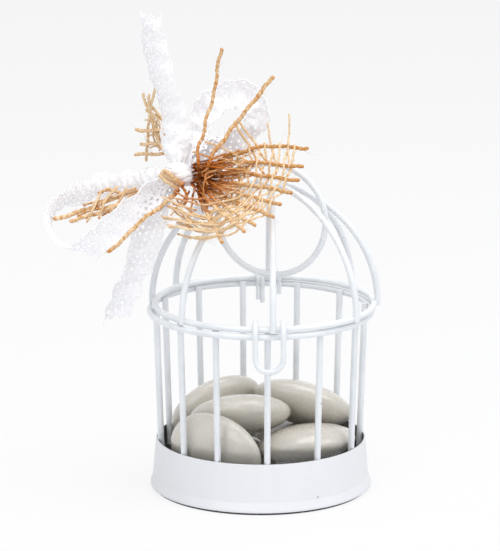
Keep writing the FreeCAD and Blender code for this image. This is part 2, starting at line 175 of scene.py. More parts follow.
def makePanPaint(paint):
    mat, shader, pen = startFinish("panPaint", {"Coat Weight": 0.2, "Coat Roughness": 0.22, "IOR": 1.5})
    place = onObject(pen)
    x, y, z = pen.make("ShaderNodeSeparateXYZ", None, {0: place}).outputs(0, 1, 2)
    # the wall leans in as it rises, so the radius is levelled before it is split half way through the sheet
    reach = (x * x + y * y) ** 0.5 + z * paint["lean"]
    inside = 1 - reach.step(*paint["wallMiddle"])
    # bare tin on the inside of the wall above the floor; its dark colour is partly painted shade inside the
    # pan
    bareTinAndShade = inside * z.step(*paint["floorTop"])
    cloud = grainOf(pen, place, paint["cloudScale"])
    peel = grainOf(pen, place, paint["peelScale"], 2.0)
    tall = pen.make("ShaderNodeMapping", None, {"Vector": place, "Scale": paint["runStretch"]})
    runs = grainOf(pen, tall, paint["runScale"]).step(*paint["runFrom"])
    rimWear = z.step(*paint["rimTop"]) * grainOf(pen, place, paint["rimScale"]).step(*paint["rimFrom"])
    footGrain = grainOf(pen, place, paint["footScale"]).step(*paint["footFrom"])
    footWear = (1 - z.step(*paint["footLip"])) * footGrain
    spots = grainOf(pen, place, paint["spotScale"], 1.0).step(*paint["spotFrom"])
    worn = (rimWear + footWear * paint["footShare"] + spots * paint["spotShare"]).least(1.0)
    enamel = (runs * paint["runShare"] + cloud * paint["cloudShare"]).between(paint["white"], paint["run"])
    # a near-black band along the bottom of the floor disc, under the foot lip: painted shadow of the gap
    # beneath the lip
    outside = (1 - z.step(*paint["underside"])).between(enamel, paint["edge"])
    colour = worn.between(bareTinAndShade.between(outside, paint["tin"]), paint["worn"])
    rough = paint["rough"] + cloud * paint["cloudRough"] + worn * paint["wornRough"]
    rough = rough + inside * paint["insideRough"]
    height = cloud * paint["cloudRise"] + peel * paint["peelRise"] + runs * paint["runRise"]
    bump = raised(pen, height - worn * paint["wornRise"], *paint["bump"])
    wireUp(shader, Base_Color=colour, Roughness=rough, Metallic=bareTinAndShade * paint["metal"], Normal=bump)
    return mat


# taupe sugar shell: cloudy, finely speckled, tiny pits, a polished coat
sugarShell = dict(
    pale=(0.70, 0.675, 0.615), deep=(0.52, 0.485, 0.42), speck=(0.36, 0.34, 0.30),
    cloudScale=130.0, mottleScale=900.0, speckScale=1500.0, speckFrom=(0.70, 0.76),
    pitScale=620.0, pitFrom=(0.0, 0.22), cloudShare=0.75, mottleShare=0.5, lighten=0.15, speckShare=0.35,
    rough=0.20, mottleRough=0.16, speckRough=0.1, mottleRise=0.4, pitRise=0.25, bump=(0.3, 0.00012))


def makeSugarShell(shell):
    mat, shader, pen = startFinish("sugarShell", {"Coat Weight": 0.8, "Coat Roughness": 0.07, "IOR": 1.5})
    place = onObject(pen)
    cloud = grainOf(pen, place, shell["cloudScale"])
    mottle = grainOf(pen, place, shell["mottleScale"], 4.0)
    specks = grainOf(pen, place, shell["speckScale"], 1.0).step(*shell["speckFrom"])
    cells = pen.make("ShaderNodeTexVoronoi", None, {"Vector": place, "Scale": shell["pitScale"]})
    pits = cells.step(*shell["pitFrom"])
    shade = cloud * shell["cloudShare"] + mottle * shell["mottleShare"] - shell["lighten"]
    base = shade.between(shell["pale"], shell["deep"])
    colour = (specks * shell["speckShare"]).between(base, shell["speck"])
    rough = shell["rough"] + mottle * shell["mottleRough"] + specks * shell["speckRough"]
    height = mottle * shell["mottleRise"] + cloud + pits * shell["pitRise"]
    wireUp(shader, Base_Color=colour, Roughness=rough, Normal=raised(pen, height, *shell["bump"]))
    return mat


# cotton lace: the flat map is in millimetres, so threads keep their size along the band
laceCotton = dict(
    bright=(0.965, 0.965, 0.985), dull=(0.92, 0.92, 0.95), threadsPerMm=2.6, wanderScale=1.6, wander=2.0,
    fuzzScale=6.0, weaveShare=0.5, twillShare=0.25, threadShare=0.35, fuzzShare=0.75, darken=0.1,
    threadRise=0.6, bump=(0.2, 0.00006))


def makeLaceCotton(cotton):
    mat, shader, pen = startFinish("laceCotton", {
        "Roughness": 0.9, "Sheen Weight": 0.25, "Sheen Roughness": 0.5, "Specular IOR Level": 0.2})
    flat = onFlat(pen)
    across, along = pen.make("ShaderNodeSeparateXYZ", None, {0: flat}).outputs(0, 1)
    turn = fullTurn * cotton["threadsPerMm"]
    wander = grainOf(pen, flat, cotton["wanderScale"]) * cotton["wander"]
    weave = (across * turn + wander).sine() * (along * turn + wander).sine()
    twill = ((across + along) * (turn * 0.5)).sine()
    fuzz = grainOf(pen, flat, cotton["fuzzScale"], 4.0, 0.7)
    threads = weave * cotton["weaveShare"] + twill * cotton["twillShare"] + 0.5
    shade = threads * cotton["threadShare"] + fuzz * cotton["fuzzShare"] - cotton["darken"]
    height = threads * cotton["threadRise"] + fuzz
    colour = shade.between(cotton["dull"], cotton["bright"])
    wireUp(shader, Base_Color=colour, Normal=raised(pen, height, *cotton["bump"]))
    return mat


# jute: straw to golden fibres along the yarn, brown at cut ends; the gather is brown partly in colour and
# partly as painted shade of its hollow, with near-black painted shade in its core; the ply grooves and thin
# dark streaks along the fibres are painted shade too
juteYarn = dict(
    straw=(0.85, 0.66, 0.43), gold=(0.56, 0.265, 0.07), brown=(0.54, 0.145, 0.006), core=(0.12, 0.020, 0.001),
    fibreStretch=(2.6, 0.8, 1.0), blotScale=0.7, fibreShare=2.6, blotShare=0.5, goldFrom=(-0.1, 0.75),
    streakFrom=(0.06, 0.22), streakShare=0.55, depthShare=0.4, lighten=0.2, brownFrom=(0.05, 1.0),
    hollowShadeFrom=(0.78, 1.25), bump=(0.8, 0.00018))


def makeJuteYarn(jute):
    mat, shader, pen = startFinish("juteYarn", {
        "Roughness": 0.85, "Sheen Weight": 0.03, "Specular IOR Level": 0.1})
    flat = onFlat(pen)
    depth = pen.make("ShaderNodeAttribute", {"attribute_name": "depth"}, out="Fac")
    tone = pen.make("ShaderNodeAttribute", {"attribute_name": "tone"}, out="Fac")
    drawn = pen.make("ShaderNodeMapping", None, {"Vector": flat, "Scale": jute["fibreStretch"]})
    fibre = grainOf(pen, drawn, 1.0, 5.0, 0.7)
    blot = grainOf(pen, flat, jute["blotScale"], 2.0)
    ripe = (fibre - 0.5) * jute["fibreShare"] + blot * jute["blotShare"] + tone
    light = ripe.step(*jute["goldFrom"]).between(jute["straw"], jute["gold"])
    # thin dark streaks along the fibres: painted fibre shadows
    fibreShadowStreak = (fibre - 0.5).step(*jute["streakFrom"]) * jute["streakShare"]
    shade = depth + fibreShadowStreak + fibre * jute["depthShare"] - jute["lighten"]
    # browner deep in the gather and in the ply grooves as painted shade, and at cut ends and on darker yarns
    # in colour
    dark = shade.step(*jute["brownFrom"]).between(light, jute["brown"])
    # near-black where the gather is deepest: painted shade in the hollow of the gather
    colour = depth.step(*jute["hollowShadeFrom"]).between(dark, jute["core"])
    wireUp(shader, Base_Color=colour, Normal=raised(pen, fibre, *jute["bump"]))
    return mat


finishes = dict(
    wire_paint=makeWirePaint(wirePaint), pan_paint=makePanPaint(panPaint),
    sugar_shell=makeSugarShell(sugarShell), lace=makeLaceCotton(laceCotton), jute=makeJuteYarn(juteYarn))

# a CAD node's finish goes by the first word of its name; the rest is painted wire
finishOf = dict(lace="lace", jute="jute", almond="sugar_shell", base="pan_paint")
for name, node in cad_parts.items():
    kind = finishOf.get(name.split("_")[0], "wire_paint")
    for slot in node.material_slots:
        slot.material = finishes[kind]
print("finishes made:", len(finishes))


def putDown(name, data):
    made = bpy.data.objects.new(name, data)
    bpy.context.collection.objects.link(made)
    return made


# arrays into a mesh object that rides on a body and stands for CAD nodes; lengths arrive in millimetres
def addPiece(name, body, kind, nodes, verts, faces, flat=None, marks=None):
    mesh = bpy.data.meshes.new(name)
    mesh.from_pydata((verts * mm).tolist(), [], [face.tolist() for face in faces])
    mesh.polygons.foreach_set("use_smooth", np.ones(len(mesh.polygons), dtype=bool))
    if flat is not None:
        corner = np.empty(len(mesh.loops), dtype=np.int32)
        mesh.loops.foreach_get("vertex_index", corner)
        mesh.uv_layers.new(name="flat").data.foreach_set("uv", flat[corner].ravel())
    for mark, values in (marks or {}).items():
        layer = mesh.attributes.new(mark, "FLOAT", "POINT")
        layer.data.foreach_set("value", values.astype(np.float32))
    mesh.materials.append(finishes[kind])
    mesh.update()
    piece = putDown(name, mesh)
    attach(piece, body)
    if nodes:
        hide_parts(*nodes)
    return piece


# lace_tail_up becomes laceTailUp
def camel(node):
    first, *rest = node.split("_")
    return first + "".join(word.capitalize() for word in rest)


# quads of a rows by cols grid, joined round the columns where wrap is set
def quadsOf(rows, cols, wrap=False):
    i, j = np.meshgrid(np.arange(rows - 1), np.arange(cols if wrap else cols - 1), indexing="ij")
    k = (j + 1) % cols
    corners = [i * cols + j, i * cols + k, (i + 1) * cols + k, (i + 1) * cols + j]
    return np.stack(corners, axis=-1).reshape(-1, 4)


# faces of a tube: its quads and a cap at each end
def tubeFaces(rows, cols):
    caps = [np.arange(cols), np.arange((rows - 1) * cols, rows * cols)[::-1]]
    return list(quadsOf(rows, cols, True)[:, ::-1]) + caps


def unit(v):
    return v / np.maximum(np.linalg.norm(v, axis=-1, keepdims=True), 1e-9)


# turn about axis 0, 1 or 2 by an angle in degrees
def turnAbout(axis, degrees):
    angle = np.radians(degrees)
    i, j = (axis + 1) % 3, (axis + 2) % 3
    matrix = np.eye(3)
    matrix[i, i] = np.cos(angle)
    matrix[j, j] = np.cos(angle)
    matrix[i, j] = -np.sin(angle)
    matrix[j, i] = np.sin(angle)
    return matrix


# natural cubic through the points, on chord length, read off at an even step
def through(points, step):
    p = np.asarray(points, dtype=float)
    knots = np.concatenate([[0.0], np.cumsum(np.linalg.norm(np.diff(p[:, :3], axis=0), axis=1))])
    count = len(p)
    gap = np.diff(knots)
    system = np.eye(count)
    right = np.zeros_like(p)
    if count > 2:
        inner = np.arange(1, count - 1)
        system[inner, inner - 1] = gap[:-1]
        system[inner, inner] = 2 * (gap[:-1] + gap[1:])
        system[inner, inner + 1] = gap[1:]
        right[1:-1] = 6 * np.diff(np.diff(p, axis=0) / gap[:, None], axis=0)
    bend = np.linalg.solve(system, right)
    at = np.linspace(0.0, knots[-1], max(4, int(round(knots[-1] / step)) + 1))
    i = np.clip(np.searchsorted(knots, at, side="right") - 1, 0, count - 2)
    h = gap[i][:, None]
    a = (knots[i + 1] - at)[:, None]
    b = (at - knots[i])[:, None]
    near = p[i] / h - bend[i] * h / 6
    far = p[i + 1] / h - bend[i + 1] * h / 6
    return (bend[i] * a**3 + bend[i + 1] * b**3) / (6 * h) + near * a + far * b, at


# sugared almonds: semi-axes long, wide, thick; (place, yaw, tilt, roll) as they lie in the pan
almonds = dict(
    long=12.9, wide=10.4, thick=4.9, trim=0.995, taper=0.03, dent=0.010, phaseStep=1.7, rows=49, cols=72,
    heap=dict(
        almond_front_left=((-11.3, -13.9, 12.5), -30.0, 101.5, 1.5),
        almond_front_right=((11.7, -5.9, 12.5), 26.5, -11.0, -1.0),
        almond_middle=((-5.2, -3.3, 19.1), -4.5, -27.5, -6.5),
        almond_back_left=((-11.4, 11.4, 16.8), 27.5, 122.5, -11.5),
        almond_back_right=((10.8, 7.4, 19.2), -4.5, -32.5, 13.0),
        almond_under_left=((-12.1, 3.3, 6.6), -1.5, -10.0, -13.5),
        almond_under_right=((8.7, 10.9, 6.6), -59.5, 10.0, 12.5)))


# egg-ended ellipsoid with shallow dents: width and thickness shrink to one end; turned about X, Y, then Z
def almondShell(place, yaw, tilt, roll, phase):
    rows, cols = almonds["rows"], almonds["cols"]
    u = np.linspace(0.0, np.pi, rows)[:, None]
    v = np.linspace(0.0, fullTurn, cols, endpoint=False)[None, :]
    end = np.cos(u) + 0 * v
    girth = np.sin(u) * (1 - almonds["taper"] * end)
    dent = 1 - almonds["dent"] * (1 + np.sin(3 * u + phase) * np.cos(2 * v + phase)) / 2
    shell = np.stack([
        almonds["long"] * end * almonds["trim"],
        almonds["wide"] * girth * np.cos(v) * dent,
        almonds["thick"] * girth * np.sin(v) * dent], axis=-1)
    turned = shell @ (turnAbout(2, yaw) @ turnAbout(1, roll) @ turnAbout(0, tilt)).T + np.array(place)
    # one point closes each pole
    ring = turned[1:-1].reshape(-1, 3)
    verts = np.concatenate([ring, turned[0, :1], turned[-1, :1]])
    j = np.arange(cols)
    k = (j + 1) % cols
    head = np.full(cols, len(ring))
    last = (rows - 3) * cols
    caps = np.concatenate([np.stack([head, k, j], axis=1), np.stack([head + 1, last + j, last + k], axis=1)])
    return verts, list(quadsOf(rows - 2, cols, True)[:, ::-1]) + list(caps[:, ::-1])


for count, (node, lie) in enumerate(almonds["heap"].items()):
    verts, faces = almondShell(*lie, almonds["phaseStep"] * count)
    addPiece(camel(node), "cage_body", "sugar_shell", [node], verts, faces)
print("almonds heaped:", len(almonds["heap"]))

# lace band, cut 10 mm wide, in millimetres: stations are (place, across, half curl in radians)
lace = dict(
    width=10.0, thick=0.16, pitch=0.17, leastCurl=0.3, flatTo=0.6, ripple=0.7, fullRipple=1.1,
    waves=(7.3, 5.7, 2.3), sideLag=1.2, slowShare=0.6, slowLean=0.45, fineRise=0.12, fineLean=0.8,
    pinch=0.66, pinchLength=4.2, pleat=0.32, pleats=11, scallop=2.4, bay=0.11, swell=0.05, swellTurns=0.83,
    eyelet=0.34, row=1.5, along=1.1, stagger=0.55, spread=0.75, shift=(0.45, 0.5), oval=0.9, border=1.45,
    edgeHole=0.3, edgeIn=0.8, fray=(0.6, 0.5), frayTurns=2.4, leastSlope=0.3, slideMost=0.11,
    seeds=((12.9, 78.2), (39.3, 11.1), (73.1, 52.2)), scatter=43.7, bareFrom=0.8,
    loopLeft=[
        ((-21.4, -4.0, 81.4), (0, -0.2, 1), 1.5), ((-24.6, -1.8, 80.2), (0, -0.2, 1), 1.5),
        ((-30.4, 2.5, 77.2), (0, -0.3, 1), 1.4), ((-38.0, 5.5, 75.8), (0, -0.4, 1), 1.3),
        ((-45.6, 5.5, 73.8), (-0.2, -0.7, 0.75), 0.9), ((-51.0, 2.5, 71.9), (-0.2, -0.94, 0.35), 0.45),
        ((-52.8, -2.0, 68.9), (-0.05, -0.97, 0.24), 0.3),
        ((-50.6, -7.0, 65.4), (-0.05, -0.97, 0.24), 0.3),
        ((-46.2, -10.0, 64.2), (-0.15, -0.92, 0.35), 0.45),
        ((-42.0, -11.0, 66.0), (-0.5, -0.6, 0.8), 0.85), ((-36.2, -10.5, 70.2), (-0.7, -0.3, 0.8), 1.1),
        ((-30.1, -9.5, 75.4), (-0.6, -0.3, 0.8), 1.3), ((-25.6, -7.5, 79.2), (-0.6, -0.3, 0.8), 1.7),
        ((-21.8, -5.4, 81.2), (-0.6, -0.3, 0.8), 1.7)],
    loopRight=[
        ((-19.2, -3.8, 82.0), (-0.9, 0.2, 0.5), 1.8), ((-18.4, -1.4, 85.0), (-0.9, 0.2, 0.5), 1.8),
        ((-16.2, 3.5, 90.3), (-0.8, 0.4, 0.5), 1.6), ((-13.2, 6.0, 95.7), (-0.8, 0.4, 0.6), 1.4),
        ((-9.2, 7.0, 98.6), (-0.4, 0.5, 0.8), 1.3), ((-4.8, 6.0, 99.4), (0.1, 0.5, 0.9), 1.2),
        ((-1.9, 3.6, 97.2), (0.8, 0.4, 0.5), 1.4), ((-1.8, 3.0, 93.6), (0.9, 0.4, -0.1), 1.6),
        ((-4.8, 3.2, 90.0), (0.6, 0.5, -0.7), 1.4), ((-9.0, 3.6, 88.2), (0.4, 0.6, -0.8), 1.5),
        ((-14.6, 2.2, 85.8), (0.4, 0.6, -0.8), 1.8), ((-18.4, -3.2, 82.0), (0.4, 0.6, -0.8), 1.8)],
    tailUp=[
        ((-20.3, -4.4, 82.0), (1, 0.2, 0), 1.7), ((-21.2, -2.2, 90.0), (0.95, -0.25, 0), 0.9),
        ((-22.4, -0.4, 96.8), (0.75, -0.65, 0.1), 0.7), ((-24.8, 0.8, 103.0), (0.6, -0.8, 0.1), 0.6),
        ((-26.4, 1.3, 110.4), (0.75, -0.65, 0.1), 0.8), ((-27.9, 1.6, 116.0), (0.6, -0.8, 0.2), 0.9),
        ((-28.0, 2.0, 121.2), (0.5, -0.85, 0.2), 1.0)],
    tailDown=[
        ((-20.8, -4.4, 81.2), (1, 0.2, 0.4), 1.8), ((-23.4, -3.9, 78.2), (1, 0.2, 0.4), 1.8),
        ((-26.6, -6.2, 72.2), (1, 0.1, 0.4), 1.3), ((-28.6, -7.4, 66.3), (1, 0.1, 0.3), 1.1),
        ((-31.0, -8.2, 59.8), (0.9, 0.4, 0.4), 1.2), ((-34.2, -8.4, 52.8), (0.9, 0.3, 0.4), 1.4),
        ((-37.4, -8.4, 43.0), (0.9, 0.2, 0.4), 1.8)])


# rows of eyelets on the flat band: x across and y along, in millimetres; a hole where the result is above 0
def eyelets(x, y, half):
    row, scallop = lace["row"], lace["scallop"]
    pace = lace["along"] * row
    across = np.floor(x / row + 0.5)
    y2 = y + (across % 2) * row * lace["stagger"]
    along = np.floor(y2 / pace + 0.5)
    # each eyelet has its own small shift and size, from a repeatable scatter of its row and place
    scatter = [np.sin(across * a + along * b) * lace["scatter"] for a, b in lace["seeds"]]
    shiftX, shiftY, grow = [np.modf(np.abs(value))[0] - 0.5 for value in scatter]
    size = lace["eyelet"] * (1 + lace["spread"] * grow) * (np.abs(shiftX + shiftY) < lace["bareFrom"])
    offX = x - across * row - lace["shift"][0] * shiftX
    offY = (y2 - pace * along - lace["shift"][1] * shiftY) * lace["oval"]
    hole = size - np.hypot(offX, offY)
    body = (half - lace["border"]) - np.abs(x)
    bayY = y - scallop * (np.floor(y / scallop) + 0.5)
    edge = lace["edgeHole"] - np.hypot(np.abs(x) - (half - lace["edgeIn"]), bayY)
    return np.maximum(np.minimum(hole, body), edge)


# band along a path: an arc across it (curl keeps the width), ripples, scalloped sides, eyelets cut out
def laceBand(stations, width, ripple, phase, slant, knotted):
    rows = np.array([[*place, *across, curl] for place, across, curl in stations], dtype=float)
    line, along = through(rows, lace["pitch"])
    path = line[:, :3]
    curl = np.maximum(line[:, 6:7], lace["leastCurl"])
    ahead = unit(np.gradient(path, axis=0))
    side = unit(line[:, 3:6] - np.sum(line[:, 3:6] * ahead, axis=1, keepdims=True) * ahead)
    face = np.cross(ahead, side)
    cols = int(width / lace["pitch"]) + 1
    half = width / 2
    u = np.linspace(-1.0, 1.0, cols)[None, :]
    y = along[:, None]
    bays = lace["bay"] * (1 - np.abs(np.sin(np.pi * y / lace["scallop"])))
    swell = lace["swell"] * np.sin(y * lace["swellTurns"] + phase) ** 2
    x = u * half * (1 - (bays + swell) * np.abs(u) ** 4)
    turn = x / half * curl
    out = np.sin(turn) / curl * half
    lift = (1 - np.cos(turn)) / curl * half - (1 - np.cos(curl * lace["flatTo"])) / curl * half
    # waves: at the edges, slow ones aslant, fine ones all over; a flat stretch ripples less
    ripple = ripple * np.minimum(curl / lace["fullRipple"], 1.0) ** 2
    edgeLong, slowLong, fineLong = lace["waves"]
    edgeTurn = fullTurn * y / edgeLong + phase + lace["sideLag"] * np.sign(u)
    slowTurn = fullTurn * (y / slowLong + u * lace["slowLean"]) + 2 * phase
    fineTurn = fullTurn * (y / fineLong - u * lace["fineLean"]) + phase
    wave = ripple * np.abs(u) ** 2 * np.sin(edgeTurn) + lace["slowShare"] * ripple * np.sin(slowTurn)
    wave = wave + lace["fineRise"] * np.sin(fineTurn)
    # where an end goes into the knot the band draws in and pleats
    near = knotted[0] * np.exp(-(y / lace["pinchLength"]) ** 2)
    near = near + knotted[1] * np.exp(-((along[-1] - y) / lace["pinchLength"]) ** 2)
    draw = 1 - lace["pinch"] * near
    rise = (lift + wave) * draw + lace["pleat"] * near * np.sin(lace["pleats"] * u + phase)
    verts = path[:, None, :] + side[:, None, :] * (out * draw)[..., None] + face[:, None, :] * rise[..., None]
    quads = quadsOf(len(path), cols)
    gridX = np.broadcast_to(x, rise.shape)
    gridY = np.broadcast_to(y, rise.shape)
    flat = np.stack([gridX.ravel(), gridY.ravel()], axis=1)
    midX = flat[:, 0][quads].mean(axis=1)
    midY = flat[:, 1][quads].mean(axis=1)
    cut = eyelets(midX, midY, half) > 0
    frayIn, frayRise = lace["fray"]
    ends = midY > along[-1] - frayIn - frayRise * np.sin(lace["frayTurns"] * midX) - slant * (midX + half)
    kept = quads[~(cut | ends)]
    # points on an eyelet's rim slide along its slope onto the round outline
    rim = np.intersect1d(quads[cut], kept)
    nudge = 0.01
    deep = eyelets(gridX, gridY, half)
    slopeX = (eyelets(gridX + nudge, gridY, half) - deep) / nudge
    slopeY = (eyelets(gridX, gridY + nudge, half) - deep) / nudge
    reach = -deep / np.maximum(slopeX**2 + slopeY**2, lace["leastSlope"])
    way = np.stack([reach * slopeX, reach * slopeY], axis=-1).reshape(-1, 2)
    slide = np.zeros_like(way)
    slide[rim] = np.clip(way[rim], -lace["slideMost"], lace["slideMost"])
    slide = slide.reshape(*rise.shape, 2)
    perX = np.gradient(verts, axis=1) / np.gradient(gridX, axis=1)[..., None]
    perY = np.gradient(verts, axis=0) / np.gradient(gridY, axis=0)[..., None]
    verts = verts + perX * slide[..., :1] + perY * slide[..., 1:]
    used = np.unique(kept)
    renumber = np.full(len(flat), -1)
    renumber[used] = np.arange(len(used))
    verts = verts.reshape(-1, 3)[used]
    faces = renumber[kept]
    a, b, c = [verts[faces[:, i]] - verts[faces[:, 0]] for i in (1, 2, 3)]
    cloth = 0.5 * (np.linalg.norm(np.cross(a, b), axis=1) + np.linalg.norm(np.cross(b, c), axis=1)).sum()
    return verts, faces, flat[used], along[-1], cloth


def addLace(node, stations, phase, width=lace["width"], ripple=lace["ripple"], slant=0.0, knotted=(1, 0)):
    verts, faces, flat, length, cloth = laceBand(stations, width, ripple, phase, slant, knotted)
    piece = addPiece(camel(node), "carry_ring", "lace", [node], verts, faces, flat)
    # cut edges stay sharp, so a thin rim doesn't shade the face beside it
    mesh = piece.data
    edgeOf = np.empty(len(mesh.loops), dtype=np.int32)
    mesh.loops.foreach_get("edge_index", edgeOf)
    mesh.edges.foreach_set("use_edge_sharp", np.bincount(edgeOf, minlength=len(mesh.edges)) == 1)
    wall = piece.modifiers.new("thread", "SOLIDIFY")
    wall.thickness = lace["thick"] * mm
    wall.offset = 0.0
    wall.use_rim = True
    print(piece.name, "length %.1f mm, cloth %.1f mm2" % (length, cloth))
    return piece, length, cloth


# tie: round and round the carry ring's wire, then up to the back of the knot
tie = dict(
    ringCentre=(2.6, 2.0, 68.7), ringWay=(0.948, -0.317, 0.0), ringRadius=14.3, angle=150.0,
    width=4.5, start=1.12, rise=0.14, turns=1.6, points=34, curl=0.3,
    route=[(-11.0, 4.7, 77.3), (-14.2, 2.6, 79.0), (-17.6, -1.0, 80.8)])


# spiral round the wire: radius grows with the turn; the across direction is the wire's own
def tieStations():
    a = np.radians(tie["angle"])
    way = np.array(tie["ringWay"])
    up = np.array([0.0, 0.0, 1.0])
    outward = np.cos(a) * way + np.sin(a) * up
    spot = np.array(tie["ringCentre"]) + tie["ringRadius"] * outward
    grain = -np.sin(a) * way + np.cos(a) * up
    flank = np.cross(grain, outward)
    turn = np.linspace(-fullTurn * tie["turns"], 0.0, tie["points"])
    radius = tie["start"] + tie["rise"] * (1 + turn / (fullTurn * tie["turns"]))
    spiral = spot + radius[:, None] * (np.cos(turn)[:, None] * outward + np.sin(turn)[:, None] * flank)
    places = np.concatenate([spiral, np.array(tie["route"])])
    return [(place, grain, tie["curl"]) for place in places]


# knot: a crossing lump of two wraps, its folds running slantwise
knot = dict(
    centre=(-20.0, -4.4, 81.6), half=(4.5, 3.1, 2.8), core=0.93, folds=7, deep=0.075, twist=0.9, sway=1.3,
    wrap=0.10, wrapWide=0.42, wrapLean=0.25, crimp=0.012, crimps=(9, 5), slant=24.0,
    pole=0.03, rows=70, cols=110, flat=(2.8, 3.2))


# ellipsoid creased by folds that wind about a slanted axis, with one wrap standing proud of the other
def knotShell():
    u = np.linspace(knot["pole"], np.pi - knot["pole"], knot["rows"])[:, None]
    v = np.linspace(0.0, fullTurn, knot["cols"], endpoint=False)[None, :]
    wind = v + knot["twist"] * np.cos(u)
    crease = np.abs(np.sin(knot["folds"] * 0.5 * wind + knot["sway"] * np.sin(2 * u)))
    wrap = knot["wrap"] * np.exp(-((np.cos(u) + knot["wrapLean"] * np.sin(v)) / knot["wrapWide"]) ** 2)
    crimp = knot["crimp"] * np.sin(knot["crimps"][0] * u + knot["crimps"][1] * v)
    grow = knot["core"] + wrap - knot["deep"] * (1 - crease) ** 2 + crimp
    ball = np.stack([np.cos(u) + 0 * v, np.sin(u) * np.cos(v), np.sin(u) * np.sin(v)], axis=-1)
    lump = ball * grow[..., None] * np.array(knot["half"])
    verts = lump @ turnAbout(1, knot["slant"]).T + np.array(knot["centre"])
    flat = np.stack(np.broadcast_arrays(v * knot["flat"][0], u * knot["flat"][1]), axis=-1)
    return verts.reshape(-1, 3), tubeFaces(knot["rows"], knot["cols"]), flat.reshape(-1, 2)


loopLeft, longLeft, clothLeft = addLace("lace_loop_left", lace["loopLeft"], phase=0.4, knotted=(1, 1))
loopRight, longRight, clothRight = addLace("lace_loop_right", lace["loopRight"], phase=1.9, knotted=(1, 1))
tailUp, longUp, clothUp = addLace("lace_tail_up", lace["tailUp"], phase=3.1, ripple=0.6)
tailDown, longDown, clothDown = addLace("lace_tail_down", lace["tailDown"], phase=4.4, slant=0.42)
tiePiece = addLace("lace_tie", tieStations(), phase=0.0, width=tie["width"], ripple=0.0, knotted=(0, 1))[0]
knotPiece = addPiece("laceKnot", "carry_ring", "lace", ["lace_knot"], *knotShell())
print("lace bow tied")

